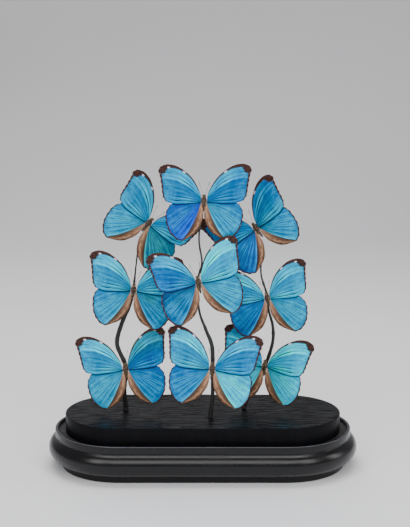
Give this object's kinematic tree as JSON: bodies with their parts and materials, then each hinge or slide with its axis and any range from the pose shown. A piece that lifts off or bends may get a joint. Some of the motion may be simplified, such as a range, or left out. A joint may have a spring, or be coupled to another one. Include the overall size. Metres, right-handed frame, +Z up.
{
  "type": "mounted butterfly display",
  "caption": "Spread blue butterflies on tapering curved stems, standing on a grooved oval wooden base made to take a glass dome.",
  "frame": {"origin": "centre of the base's underside, on the surface that it stands on", "axes": "+Z up, +X along the oval base to the viewer's right, -Y towards the viewer whom the wings' upper sides face"},
  "size_m": [0.3998, 0.1898, 0.396],
  "materials": {
    "lacquered_wood": "satin black lacquer",
    "grained_wood": "black stained open grain with a rough gloss",
    "stem_bark": "black stained smooth bark",
    "body_fur": "short dark brown and olive hair",
    "forewing_scales": "iridescent blue scales with dark brown edges",
    "hindwing_scales": "iridescent blue scales with tan inner folds"
  },
  "bodies": {
    "root": {"base_moulding": "lacquered_wood", "plinth": "grained_wood", "stem_left": "stem_bark", "stem_centre": "stem_bark", "stem_right": "stem_bark", "top_left_body": "body_fur", "top_left_forewing_left": "forewing_scales", "top_left_forewing_right": "forewing_scales", "top_left_hindwing_left": "hindwing_scales", "top_left_hindwing_right": "hindwing_scales", "top_centre_body": "body_fur", "top_centre_forewing_left": "forewing_scales", "top_centre_forewing_right": "forewing_scales", "top_centre_hindwing_left": "hindwing_scales", "top_centre_hindwing_right": "hindwing_scales", "top_right_body": "body_fur", "top_right_forewing_left": "forewing_scales", "top_right_forewing_right": "forewing_scales", "top_right_hindwing_left": "hindwing_scales", "top_right_hindwing_right": "hindwing_scales", "middle_left_body": "body_fur", "middle_left_forewing_left": "forewing_scales", "middle_left_forewing_right": "forewing_scales", "middle_left_hindwing_left": "hindwing_scales", "middle_left_hindwing_right": "hindwing_scales", "middle_centre_body": "body_fur", "middle_centre_forewing_left": "forewing_scales", "middle_centre_forewing_right": "forewing_scales", "middle_centre_hindwing_left": "hindwing_scales", "middle_centre_hindwing_right": "hindwing_scales", "middle_right_body": "body_fur", "middle_right_forewing_left": "forewing_scales", "middle_right_forewing_right": "forewing_scales", "middle_right_hindwing_left": "hindwing_scales", "middle_right_hindwing_right": "hindwing_scales", "bottom_left_body": "body_fur", "bottom_left_forewing_left": "forewing_scales", "bottom_left_forewing_right": "forewing_scales", "bottom_left_hindwing_left": "hindwing_scales", "bottom_left_hindwing_right": "hindwing_scales", "bottom_centre_body": "body_fur", "bottom_centre_forewing_left": "forewing_scales", "bottom_centre_forewing_right": "forewing_scales", "bottom_centre_hindwing_left": "hindwing_scales", "bottom_centre_hindwing_right": "hindwing_scales", "bottom_right_body": "body_fur", "bottom_right_forewing_left": "forewing_scales", "bottom_right_forewing_right": "forewing_scales", "bottom_right_hindwing_left": "hindwing_scales", "bottom_right_hindwing_right": "hindwing_scales"}
  },
  "joints": []
}
